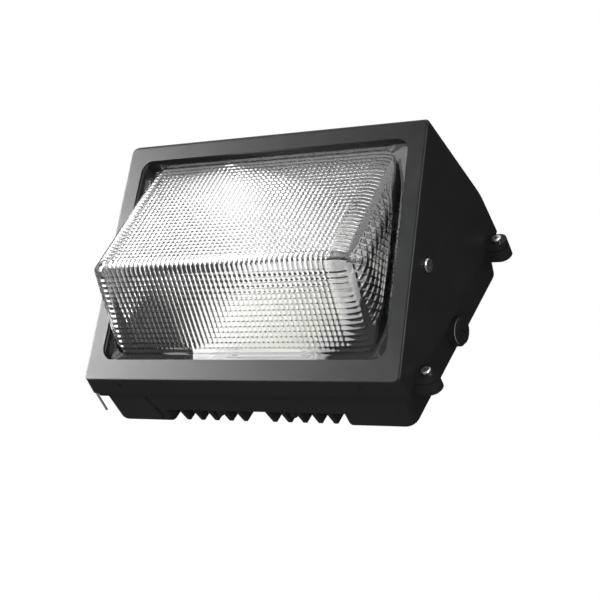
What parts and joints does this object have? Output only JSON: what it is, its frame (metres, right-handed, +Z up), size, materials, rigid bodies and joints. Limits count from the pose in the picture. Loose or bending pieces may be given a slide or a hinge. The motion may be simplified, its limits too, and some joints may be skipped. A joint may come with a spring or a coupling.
{
  "type": "wall pack light",
  "caption": "Wall-mounted outdoor light: finned cast box with a hinged wedge door, a ridged prismatic glass lens, captive screws and an LED engine inside.",
  "frame": {"origin": "centre of the threaded rear wire entry, in the plane of the wall", "axes": "+X to the right as the mounted light is seen from in front, +Y back into the wall, +Z up"},
  "size_m": [0.3834, 0.1913, 0.235],
  "materials": {
    "black_coat": "satin textured powder coat",
    "prismatic_glass": "pressed clear glass",
    "silicone": "matte",
    "stainless": "satin",
    "plate_aluminium": "mill finish",
    "white_enamel": "gloss white",
    "board_mask": "satin white",
    "phosphor": "silicone dome",
    "thermal_grey": "matte",
    "driver_shell": "moulded",
    "driver_plate": "sheet",
    "terminal_nylon": "moulded nylon",
    "terminal_brass": "bright",
    "ground_green": "plated green",
    "lead_black": "insulation",
    "lead_red": "insulation"
  },
  "bodies": {
    "housing": {"back_box": "black_coat", "conduit_plug_left": "black_coat", "conduit_plug_right": "black_coat", "plug_washers": "silicone", "hinge_pin_lower": "stainless", "hinge_pin_upper": "stainless", "spreader_plate": "plate_aluminium", "thermal_pad": "thermal_grey", "led_board": "board_mask", "led_chips": "phosphor", "board_screws": "stainless", "reflector": "white_enamel", "reflector_screws": "stainless", "driver_base": "driver_plate", "driver_case": "driver_shell", "driver_screws": "stainless", "terminal_block": "terminal_nylon", "terminal_screws": "terminal_brass", "ground_screw": "ground_green", "supply_leads": "lead_black", "output_leads": "lead_red"},
    "door": {"door_frame": "black_coat", "glass_lens": "prismatic_glass", "lens_gasket": "silicone", "lens_clamp_left": "stainless", "lens_clamp_right": "stainless", "side_screw_left": "stainless", "side_screw_right": "stainless", "clamp_nuts": "stainless", "door_gasket": "silicone"},
    "upper_screw": {"captive_screw_upper": "stainless", "retaining_washer_upper": "stainless"},
    "lower_screw": {"captive_screw_lower": "stainless", "retaining_washer_lower": "stainless"}
  },
  "joints": [
    {"name": "door_hinge", "type": "hinge", "parent": "housing", "child": "door", "pos_m": [-0.182, -0.0386, 0], "axis": [0, 0, -1], "range_deg": [0, 100]},
    {"name": "upper_screw_travel", "type": "slide", "parent": "door", "child": "upper_screw", "axis": [0, -1, 0], "range_m": [0, 0.0056]},
    {"name": "lower_screw_travel", "type": "slide", "parent": "door", "child": "lower_screw", "axis": [0, -1, 0], "range_m": [0, 0.0056]}
  ]
}
